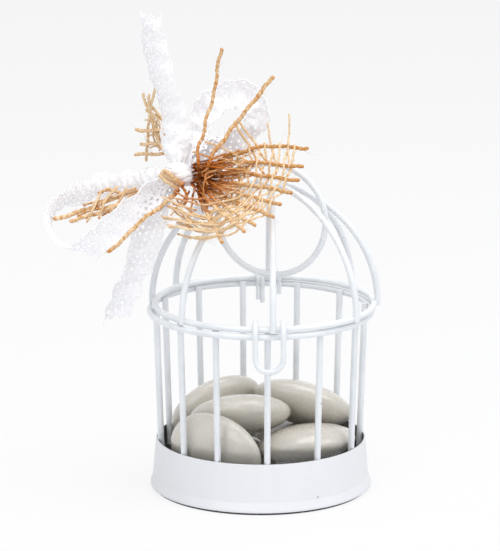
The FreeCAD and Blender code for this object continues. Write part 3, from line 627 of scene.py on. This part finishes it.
# jute net, in millimetres: nine thick yarns fan out of the gather, thin ones cross them in rings
net = dict(
    centre=(-15.0, -4.5, 79.2), thick=0.46, thin=0.26, gather=8.2, gatherCore=3.0, trackStep=0.2,
    skinStep=0.5, spokeTone=(0.38, 0.05, 0.06), ringLift=0.5, ringTone=(-0.5, 0.1), stray=0.8,
    lowLift=0.45, lowThin=0.95, lowTone=(-0.8, -0.1), innerLift=0.4, innerTone=0.25, innerDark=0.1,
    looseThin=(1.1, 1.1, 0.9), looseTone=(0.1, 0.06),
    rings=(0.41, 0.475, 0.545, 0.61, 0.675, 0.74, 0.81, 0.875),
    strays=[0.5, 0.9, 0.4, 0.7, 0.5, 0.8, 0.5, 0.6], strayWay=(-0.2, 0.6, 0.5), strayShare=0.25,
    inner=(0.29, 0.355), low=(0.445, 0.51, 0.58, 0.64, 0.71, 0.775), lowFrom=5,
    ends=[
        (-20.5, -10.5, 76.0), (-23.0, -11.0, 75.0), (-21.5, -11.5, 73.8), (-24.3, -11.5, 72.2),
        (-21.0, -13.0, 71.4), (-22.8, -13.0, 70.2), (-20.8, -14.5, 68.8), (-18.0, -17.0, 68.3)],
    spokes=[
        [(-13.5, -5.0, 82.0), (-10.4, -6.0, 85.0), (-6.2, -6.5, 87.2), (-2.0, -6.5, 88.6),
         (2.2, -6.0, 89.1), (6.7, -6.0, 88.9), (11.9, -6.0, 88.4)],
        [(-13.0, -5.4, 81.6), (-8.4, -7.0, 84.6), (-0.8, -9.0, 85.6), (4.7, -10.0, 85.2),
         (10.6, -10.0, 84.7)],
        [(-13.2, -5.8, 80.8), (-8.6, -7.6, 82.6), (-0.8, -11.4, 83.0), (3.4, -13.0, 82.6),
         (9.6, -14.0, 82.2)],
        [(-13.2, -6.0, 79.8), (-8.0, -9.0, 80.4), (0.0, -14.6, 80.6), (7.8, -19.0, 80.1)],
        [(-13.4, -6.4, 79.2), (-8.4, -10.6, 79.0), (-1.6, -17.4, 78.5), (5.1, -23.0, 78.0)],
        [(-13.8, -6.6, 78.6), (-9.0, -12.0, 77.6), (-3.0, -19.8, 76.7), (3.1, -27.0, 75.9)],
        [(-14.4, -7.0, 78.2), (-10.4, -13.6, 76.6), (-6.0, -21.8, 75.4), (-1.3, -30.0, 74.3)],
        [(-15.0, -7.2, 77.9), (-12.0, -14.0, 75.9), (-8.0, -22.4, 74.4), (-3.9, -31.0, 73.0)],
        [(-15.6, -7.2, 77.7), (-14.0, -13.0, 74.9), (-11.8, -20.4, 72.1), (-9.3, -28.0, 69.6)]],
    loose=[
        [(-6.8, -2.8, 94.9), (-3.4, -4.6, 89.6), (-1.7, -7.0, 87.2), (-0.6, -9.4, 84.9), (0.7, -11.8, 83.2)],
        [(-5.5, -2.8, 94.4), (-1.9, -4.8, 90.2), (-0.2, -7.2, 87.8), (1.5, -9.6, 85.9)],
        [(-14.1, -5.0, 89.9), (-10.1, -5.5, 88.8), (-6.2, -7.2, 87.0), (-3.2, -8.6, 86.0)],
        [(-17.1, -6.0, 87.6), (-12.4, -6.5, 86.5), (-8.2, -7.8, 85.8), (-4.7, -9.2, 84.8)],
        [(1.7, -4.0, 94.8), (2.2, -5.2, 90.1), (3.2, -7.4, 87.4), (3.7, -12.0, 83.2)],
        [(7.2, -4.0, 97.1), (6.9, -5.2, 92.8), (6.8, -7.2, 88.8), (6.8, -11.0, 84.6)],
        [(-24.7, -12.0, 77.5), (-20.0, -13.0, 75.7), (-15.8, -14.0, 74.4)],
        [(-20.0, -13.0, 75.7), (-18.5, -15.0, 73.1), (-14.8, -19.0, 70.8)],
        [(-16.6, -7.4, 77.8), (-17.4, -11.6, 74.8), (-18.4, -16.4, 71.2)],
        [(-17.6, -7.4, 78.2), (-20.0, -10.8, 75.6), (-22.4, -13.4, 73.0)],
        [(-22.0, -8.8, 78.4), (-18.0, -10.6, 77.0), (-12.0, -12.6, 77.4), (-6.0, -13.6, 79.4)],
        [(-23.0, -9.6, 77.4), (-17.0, -12.0, 76.0), (-10.6, -15.0, 76.6), (-4.4, -16.4, 79.0)]])

# one two-ply yarn, in millimetres: its twist, wander and domed ends, how brown the ends are, and how dark the
# painted shade in the grooves and the gather is
ply = dict(
    step=0.28, cols=12, twist=2.2, lobe=(0.17, 0.10), lobeFrom=0.3, slub=(0.05, 3.7), ridge=(0.04, 5, 2.1),
    wander=0.13, second=0.3, swayTurns=(0.9, 2.3), riseTurns=(0.7, 1.9), dome=0.7, leastDome=0.06,
    deep=1.15, grooveShade=0.32, endBrown=0.45, endLength=0.7)

# stray fibres, in millimetres
hair = dict(
    perMm=0.8, fewest=2, points=5, long=(0.9, 3.8), lean=(0.25, 0.9), sag=0.35, thick=0.055, taper=0.75,
    rootIn=0.7, flat=(0.3, 0.0), deep=0.9, paler=0.1)


# how deep a point lies in the gather: top at its core, 0 outside
def gathered(verts, top):
    away = np.linalg.norm(verts - np.array(net["centre"]), axis=-1)
    return np.clip(top - (away - net["gatherCore"]) / net["gather"], 0, 1)


# two-ply yarn: a round section with two lobes that wind along it, wandering a little, its cut ends domed
def yarnTube(points, radius, tone, dark):
    line, along = through(points, ply["step"])
    ahead = unit(np.gradient(line, axis=0))
    lean = np.eye(3)[np.argmin(np.abs(ahead.mean(axis=0)))]
    side = unit(np.cross(ahead, lean))
    up = np.cross(side, ahead)
    a = dice.uniform(0, anyTurn, 4)
    sway, rise = [
        ply["wander"] * (np.sin(along * slow + a[i]) + ply["second"] * np.sin(along * quick + a[i + 1]))
        for i, (slow, quick) in ((0, ply["swayTurns"]), (2, ply["riseTurns"]))]
    line = line + side * sway[:, None] + up * rise[:, None]
    turn = np.linspace(0, fullTurn, ply["cols"], endpoint=False)[None, :]
    y = along[:, None]
    wind = np.cos(2 * (turn - fullTurn * y / ply["twist"] + a[0]))
    slub, slubTurns = ply["slub"]
    ridge, ridges, ridgeTurns = ply["ridge"]
    lobes = 1 + ply["lobe"][int(radius < ply["lobeFrom"])] * wind + slub * np.sin(y * slubTurns + a[1])
    lobes = lobes + ridge * np.sin(ridges * turn + y * ridgeTurns)
    tip = np.clip(np.minimum(y, along[-1] - y) / (ply["dome"] * radius), 0, 1)
    reach = radius * lobes * np.sqrt(np.clip(1 - (1 - tip) ** 2, ply["leastDome"], 1))
    outward = np.cos(turn)[..., None] * side[:, None, :] + np.sin(turn)[..., None] * up[:, None, :]
    verts = line[:, None, :] + reach[..., None] * outward
    cutEnd = ply["endBrown"] * np.exp(-((along[-1] - y) / ply["endLength"]) ** 2)
    # painted shade deep in the gather and in the grooves between the plies, plus the brown of cut ends and of
    # darker yarns
    depth = gathered(verts, ply["deep"]) + ply["grooveShade"] * np.clip(-wind, 0, 1) + cutEnd + dark
    flat = np.stack(np.broadcast_arrays(turn / fullTurn - y / ply["twist"] * 0.5, y), axis=-1)
    faces = tubeFaces(len(line), ply["cols"])
    tube = (verts.reshape(-1, 3), faces, flat.reshape(-1, 2), depth.ravel(), np.full(depth.size, tone))
    return tube, (line, ahead, reach.mean(axis=1))


# stray fibres: three-sided tapering hairs that leave a yarn sideways and bend along it
def hairs(core, many, tone):
    line, ahead, reach = core
    pick = dice.integers(2, max(3, len(line) - 2), many)
    spin = dice.normal(size=(many, 3))
    outward = unit(spin - np.sum(spin * ahead[pick], axis=1, keepdims=True) * ahead[pick])
    sideways = outward * dice.uniform(*hair["lean"], (many, 1))
    way = unit(sideways + ahead[pick] * dice.choice([-1.0, 1.0], (many, 1)))
    length = dice.uniform(*hair["long"], (many, 1, 1))
    t = np.linspace(0, 1, hair["points"])[None, :, None]
    sag = dice.normal(size=(many, 1, 3)) * hair["sag"]
    root = line[pick][:, None, :] + outward[:, None, :] * (reach[pick] * hair["rootIn"])[:, None, None]
    spine = root + way[:, None, :] * length * t + sag * length * t**2
    fin = unit(np.cross(way, outward))
    ring = np.stack([outward, -0.5 * outward + 0.87 * fin, -0.5 * outward - 0.87 * fin], axis=1)
    thin = (hair["thick"] * (1 - hair["taper"] * t))[..., None]
    verts = (spine[:, :, None, :] + ring[:, None, :, :] * thin).reshape(-1, 3)
    each = hair["points"] * 3
    faces = np.arange(many)[:, None, None] * each + quadsOf(hair["points"], 3, True)[None]
    flat = np.zeros((many * each, 2)) + np.array(hair["flat"])
    tones = np.full(many * each, tone - hair["paler"])
    return verts, faces.reshape(-1, 4), flat, gathered(verts, hair["deep"]), tones


# joins tubes or hairs into one piece
def joinJute(name, nodes, parts):
    starts = np.cumsum([0] + [len(part[0]) for part in parts])
    verts, flat, depth, tone = [np.concatenate([part[i] for part in parts]) for i in (0, 2, 3, 4)]
    faces = [face + start for part, start in zip(parts, starts) for face in part[1]]
    return addPiece(name, "carry_ring", "jute", nodes, verts, faces, flat, dict(depth=depth, tone=tone))


fibres = []


# yarns (points, radius, tone, dark) of one piece; their stray fibres are kept for a piece of their own
def addJute(name, nodes, yarns):
    spun = [yarnTube(*yarn) for yarn in yarns]
    for tube, core in spun:
        many = max(hair["fewest"], int(hair["perMm"] * len(core[0]) * ply["step"]))
        fibres.append(hairs(core, many, tube[4][0]))
    return joinJute(name, nodes, [tube for tube, core in spun])


tracks = [through(spoke, net["trackStep"])[0] for spoke in net["spokes"]]


def onTrack(track, share):
    return track[int(share * (len(track) - 1))]


# one ring of the net, at a share of each spoke's length: over one spoke and under the next, with loose ends
def ringRoute(share, stray, end, lift):
    spots = np.array([onTrack(track, share) for track in tracks])
    out = unit(np.cross(spots - np.array(net["centre"]), np.gradient(spots, axis=0)))
    sign = np.where(np.arange(len(spots)) % 2, 1.0, -1.0)[:, None]
    woven = spots + out * sign * lift
    strayWay = np.array(net["strayWay"]) * stray * net["strayShare"]
    start = woven[0] + unit(spots[0] - spots[1]) * stray + strayWay
    return np.array([start, *woven] if end is None else [start, *woven, end])


def swap(i, size):
    return size if i % 2 else -size


def around(spread):
    return dice.uniform(-1, 1, 3) * np.array(spread)


# radius, tone and how brown a crumpled yarn is
def drawn(part):
    return net["thin"] * dice.uniform(*part["thin"]), dice.uniform(*part["tone"]), dice.uniform(*part["dark"])


yarns = []
tone, sway, fade = net["spokeTone"]
for i, spoke in enumerate(net["spokes"]):
    yarns.append((spoke, net["thick"], tone + sway * (i % 3) - fade * i, 0.0))
for i, (share, stray, end) in enumerate(zip(net["rings"], net["strays"], net["ends"])):
    route = ringRoute(share, stray, end, swap(i, net["ringLift"]))
    yarns.append((route, net["thin"], dice.uniform(*net["ringTone"]), 0.0))
for i, share in enumerate(net["low"]):
    end = net["ends"][i] + dice.uniform(-1.0, 1.0, 3)
    route = ringRoute(share, net["stray"], end, swap(i, net["lowLift"]))[net["lowFrom"]:]
    yarns.append((route, net["thin"] * net["lowThin"], dice.uniform(*net["lowTone"]), 0.0))
for i, share in enumerate(net["inner"]):
    route = ringRoute(share, net["stray"], None, swap(i, net["innerLift"]))
    yarns.append((route, net["thin"], net["innerTone"], net["innerDark"]))
tone, fade = net["looseTone"]
for i, strand in enumerate(net["loose"]):
    yarns.append((strand, net["thin"] * net["looseThin"][min(i, 2)], tone - fade * i, 0.0))

# crumpled yarn that fills the gather: from the knot's side out along a spoke, pushed about
gather = dict(
    count=32, root=(-16.8, -5.6, 80.4), spread=(1.2, 0.8, 1.6), shove=(0.8, 0.8, 1.0), far=(0.25, 0.56),
    farShift=(-0.7, 0.7), thin=(0.55, 1.0), tone=(-0.1, 0.4), dark=(-0.1, 0.25))
for i in range(gather["count"]):
    far = onTrack(tracks[i % len(tracks)], dice.uniform(*gather["far"]))
    root = np.array(gather["root"]) + around(gather["spread"])
    middle = (root + far) / 2 + around(gather["shove"])
    far = far + dice.uniform(*gather["farShift"], 3)
    yarns.append(([root, middle, far], *drawn(gather)))

# a tangle above it, at the feet of the standing strands
feet = dict(
    count=13, spokes=3, root=(-16.4, -6.2, 83.2), spread=(1.1, 0.5, 1.3), shove=(-0.7, 0.9), far=(0.2, 0.5),
    farShift=(-0.5, 1.1), thin=(0.55, 1.0), tone=(0.0, 0.5), dark=(0.0, 0.3))
for i in range(feet["count"]):
    far = onTrack(tracks[i % feet["spokes"]], dice.uniform(*feet["far"])) + dice.uniform(*feet["farShift"], 3)
    root = np.array(feet["root"]) + around(feet["spread"])
    middle = (root + far) / 2 + dice.uniform(*feet["shove"], 3)
    yarns.append(([root, middle, far], *drawn(feet)))

# and bent round it, across the mouth of the gather
mouth = dict(
    count=10, points=5, ahead=(0.73, -0.68, 0.0), up=(0.0, 0.0, 1.0), back=(0.68, 0.73, 0.0), span=(1.2, 2.6),
    wide=(2.4, 5.6), wideShift=(-0.8, 0.8), forth=(1.5, 6.5), forthShift=(-0.9, 0.9),
    thin=(0.55, 0.9), tone=(-0.1, 0.3), dark=(-0.35, 0.1))
ahead, up, back = [np.array(mouth[way]) for way in ("ahead", "up", "back")]
for i in range(mouth["count"]):
    turn = dice.uniform(0, anyTurn) + np.linspace(0.0, dice.uniform(*mouth["span"]), mouth["points"])
    wide = dice.uniform(*mouth["wide"]) + dice.uniform(*mouth["wideShift"], mouth["points"])
    forth = dice.uniform(*mouth["forth"]) + dice.uniform(*mouth["forthShift"], mouth["points"])
    circle = np.cos(turn)[:, None] * up + np.sin(turn)[:, None] * back
    points = np.array(net["centre"]) + ahead * forth[:, None] + wide[:, None] * circle
    yarns.append((points, *drawn(mouth)))
netPiece = addJute("juteNet", ["jute_neck", "jute_fan_warps", "jute_fan_wefts"], yarns)

# loose jute by CAD node: each yarn is its points, radius, tone and how brown it starts
strands = dict(
    jute_strand_right=[
        ([(-14.0, -6.2, 81.4), (-13.2, -6.7, 84.2), (-12.0, -6.4, 87.0), (-9.4, -4.8, 90.2),
         (-6.7, -3.0, 93.7), (-2.6, -2.0, 98.6), (0.4, -1.4, 102.4), (3.2, -1.0, 105.9)], 0.52, 0.1, 0.0)],
    jute_strand_tall=[
        ([(-15.0, -6.0, 81.0), (-15.5, -6.4, 84.0), (-15.6, -5.8, 88.4), (-14.4, -4.6, 91.6),
         (-13.6, -3.2, 95.4), (-12.2, -2.0, 99.4), (-11.2, -1.2, 104.4), (-10.6, -1.0, 109.0),
         (-9.7, -1.0, 113.0)], 0.43, 0.12, 0.0)],
    jute_strand_low=[
        ([(-20.4, -6.8, 78.4), (-24.3, -11.6, 75.4), (-29.7, -14.2, 71.9), (-33.3, -15.5, 68.4),
         (-38.0, -16.6, 64.4)], 0.5, 0.05, 0.0)],
    jute_fold=[
        ([(-24.8, -9.0, 83.4), (-22.2, -8.3, 81.2), (-19.6, -7.9, 79.4)], 0.62, -0.2, -0.35),
        ([(-24.2, -9.6, 84.0), (-21.8, -8.9, 81.8), (-19.0, -8.3, 79.8)], 0.5, 0.0, -0.3),
        ([(-25.2, -9.2, 82.6), (-22.8, -8.9, 80.4), (-20.4, -8.6, 78.4)], 0.5, -0.1, -0.3),
        ([(-19.6, -7.9, 79.4), (-18.4, -9.6, 77.2), (-19.4, -10.6, 75.2),
         (-22.0, -10.0, 75.4)], 0.34, -0.05, 0.0)],
    jute_flap_left=[
        ([(-31.5, 0.0, 76.6), (-37.0, -0.8, 74.6), (-42.0, -1.6, 72.6),
         (-52.0, -2.4, 69.6)], 0.55, 0.02, 0.0),
        ([(-32.0, -2.4, 75.2), (-40.0, -3.6, 71.8), (-47.9, -4.0, 69.5)], 0.5, -0.03, 0.0),
        ([(-31.0, -1.0, 77.3), (-35.0, -0.6, 76.0), (-38.2, 0.0, 76.6), (-40.9, 0.0, 75.9)], 0.4, 0.07, 0.1),
        ([(-36.0, 0.8, 77.4), (-38.4, -2.6, 75.0), (-40.6, -5.2, 70.4)], 0.32, -0.03, 0.0),
        ([(-39.6, 0.6, 76.4), (-41.6, -3.2, 73.4), (-43.4, -5.2, 69.4)], 0.32, -0.13, 0.0),
        ([(-33.4, 0.6, 77.0), (-35.4, -2.4, 74.6), (-38.0, -4.4, 71.6)], 0.32, -0.03, 0.1),
        ([(-31.0, -1.6, 75.8), (-36.0, -2.4, 73.4), (-41.0, -2.8, 72.4),
         (-46.0, -3.0, 70.6)], 0.3, 0.07, 0.15),
        ([(-33.0, -0.2, 76.8), (-36.4, -1.4, 75.2), (-39.4, -1.2, 74.4),
         (-44.5, -2.0, 73.0)], 0.3, -0.01, 0.1),
        ([(-30.4, -0.4, 76.6), (-33.6, -1.8, 74.8), (-37.0, -3.0, 72.4),
         (-39.8, -3.4, 70.8)], 0.28, 0.12, 0.2)],
    jute_flap_upper=[
        ([(-26.4, 4.4, 102.0), (-27.4, 4.6, 97.0), (-27.2, 4.6, 92.4), (-25.6, 3.6, 88.4),
         (-23.4, -1.5, 85.2)], 0.36, -0.2, 0.0),
        ([(-29.6, 4.2, 100.6), (-28.2, 4.6, 96.4), (-26.2, 4.4, 92.2), (-25.6, 4.2, 86.4)], 0.34, -0.25, 0.0),
        ([(-27.9, 4.4, 100.3), (-28.0, 4.6, 94.0), (-28.4, 4.4, 88.4), (-28.7, 4.0, 83.0)], 0.34, -0.2, 0.0),
        ([(-27.6, 4.8, 97.2), (-25.2, 4.6, 94.6), (-24.3, 4.2, 91.4), (-25.0, 4.2, 87.4)], 0.34, -0.15, 0.0),
        ([(-28.8, 4.9, 96.4), (-26.4, 5.0, 94.4), (-24.0, 4.4, 93.4)], 0.34, -0.05, 0.05),
        ([(-31.6, 3.6, 91.4), (-28.0, 3.8, 91.0), (-24.0, 3.6, 91.2)], 0.45, 0.0, 0.0),
        ([(-30.4, 3.4, 87.8), (-27.0, 3.6, 87.6), (-24.0, 3.4, 87.9)], 0.4, -0.03, 0.0),
        ([(-31.8, 3.4, 84.9), (-28.0, 3.6, 85.1), (-24.0, 3.2, 85.2)], 0.42, 0.03, 0.0),
        ([(-28.4, 4.2, 98.4), (-26.8, 4.0, 95.0), (-25.2, 3.8, 92.6), (-24.6, 3.4, 89.0),
         (-25.6, 3.6, 85.8)], 0.24, -0.35, 0.0),
        ([(-26.6, 4.8, 96.2), (-26.0, 5.0, 93.4), (-27.0, 4.8, 89.8), (-26.2, 4.4, 86.6)], 0.22, -0.35, 0.0),
        ([(-29.2, 4.6, 93.6), (-27.0, 5.0, 93.0), (-25.0, 4.6, 91.6), (-24.0, 4.0, 89.6)], 0.22, -0.15, 0.0),
        ([(-28.8, 4.6, 89.2), (-26.6, 4.8, 90.2), (-24.4, 4.2, 90.6)], 0.2, -0.25, 0.0),
        ([(-27.9, 4.4, 86.2), (-26.0, 4.6, 87.0), (-24.2, 3.8, 86.4)], 0.2, -0.15, 0.0)])
strandPieces = [addJute(camel(node), [node], yarnSet) for node, yarnSet in strands.items()]
fuzz = joinJute("juteFibres", None, fibres)
print("jute laid:", len(yarns), "net yarns,", len(strandPieces), "strand pieces,", len(fibres), "fibre sets")

# what the soft pieces were cut from; the lace's own area leaves out the eyelets
longLeft * mm
clothLeft * mm * mm
longRight * mm
clothRight * mm * mm
longUp * mm
clothUp * mm * mm
longDown * mm
clothDown * mm * mm
netFlat = (0.042, 0.048)
netArea = netFlat[0] * netFlat[1]
# half the skin of the net's yarns, which is what one side of the cloth shows
yarnLines = [through(yarn[0], net["skinStep"])[0] for yarn in yarns]
yarnLengths = [np.linalg.norm(np.diff(line, axis=0), axis=1).sum() for line in yarnLines]
yarnSkin = sum(length * np.pi * yarn[1] for length, yarn in zip(yarnLengths, yarns))
min(yarnSkin * mm * mm, netArea)
print("net yarn skin %.0f mm2 of %.0f" % (yarnSkin, netArea / mm / mm))

# stage: a wide pale floor that keeps the shadow and lifts to white for the camera, and a plain sky
stage = dict(
    half=3.0, tone=(0.86, 0.865, 0.88), paler=(0.88, 0.885, 0.895), grain=30.0,
    glow=(0.972, 0.972, 0.978, 1.0), lift=0.84, skyColour=(0.98, 0.985, 1.0, 1.0), sky=0.42)


# 1 for a ray from the camera, or one that comes by way of a gloss or through something clear
def seenBy(pen):
    path = pen.make("ShaderNodeLightPath")
    camera, gloss, clear = path.outputs("Is Camera Ray", "Is Glossy Ray", "Is Transmission Ray")
    return camera.most(gloss.most(clear))


corners = np.array([[-1, -1, 0], [1, -1, 0], [1, 1, 0], [-1, 1, 0]]) * stage["half"]
floorMesh = bpy.data.meshes.new("floor")
floorMesh.from_pydata(corners.tolist(), [], [[0, 1, 2, 3]])
floor = putDown("floor", floorMesh)
mat, shader, pen = startFinish("floorPaper", {"Roughness": 0.95, "Specular IOR Level": 0.1})
wireUp(shader, Base_Color=grainOf(pen, onObject(pen), stage["grain"]).between(stage["tone"], stage["paler"]))
glow = pen.make("ShaderNodeEmission", None, {"Color": stage["glow"], "Strength": 1.0})
paper = Sock(pen.tree, shader.outputs[0])
both = pen.make("ShaderNodeMixShader", None, {0: seenBy(pen) * stage["lift"], 1: paper, 2: glow})
pen.tree.links.new(both.socket, pen.tree.nodes["Material Output"].inputs["Surface"])
floorMesh.materials.append(mat)

world = bpy.data.worlds.new("studio")
bpy.context.scene.world = world
world.use_nodes = True
pen = Sock(world.node_tree)
sky = world.node_tree.nodes["Background"]
sky.inputs["Color"].default_value = stage["skyColour"]
wireUp(sky, Strength=stage["sky"] + seenBy(pen) * (1.0 - stage["sky"]))


def facing(spot, aim):
    return (Vector(aim) - Vector(spot)).to_track_quat("-Z", "Y").to_euler()


# soft boxes (place, size, watts): one high on the right, one overhead, a weak one in front
lamps = dict(
    side=((0.55, -0.30, 0.50), 0.45, 1.5),
    top=((0.02, -0.05, 0.85), 0.70, 5.3),
    front=((-0.26, -0.52, 0.34), 0.50, 1.0))
lampAim = (0, 0, 0.05)
for name, (spot, size, power) in lamps.items():
    light = bpy.data.lights.new(name, "AREA")
    light.shape = "SQUARE"
    light.size = size
    light.energy = power
    lamp = putDown(name, light)
    lamp.location = spot
    lamp.rotation_euler = facing(spot, lampAim)

# camera: in front and well above, a long lens
camera = dict(
    spot=(-0.00273, -0.9409, 0.2840), aim=(-0.00273, 0.0, 0.05461), lens=251.4, film=36.0, clip=(0.05, 20.0))
eye = bpy.data.cameras.new("camera")
eye.sensor_fit = "VERTICAL"
eye.sensor_height = camera["film"]
eye.lens = camera["lens"]
eye.clip_start, eye.clip_end = camera["clip"]
stand = putDown("camera", eye)
stand.location = camera["spot"]
stand.rotation_euler = facing(camera["spot"], camera["aim"])
bpy.context.scene.camera = stand
bpy.context.scene.view_settings.view_transform = "Standard"
print("studio set")

bpy.context.view_layer.update()
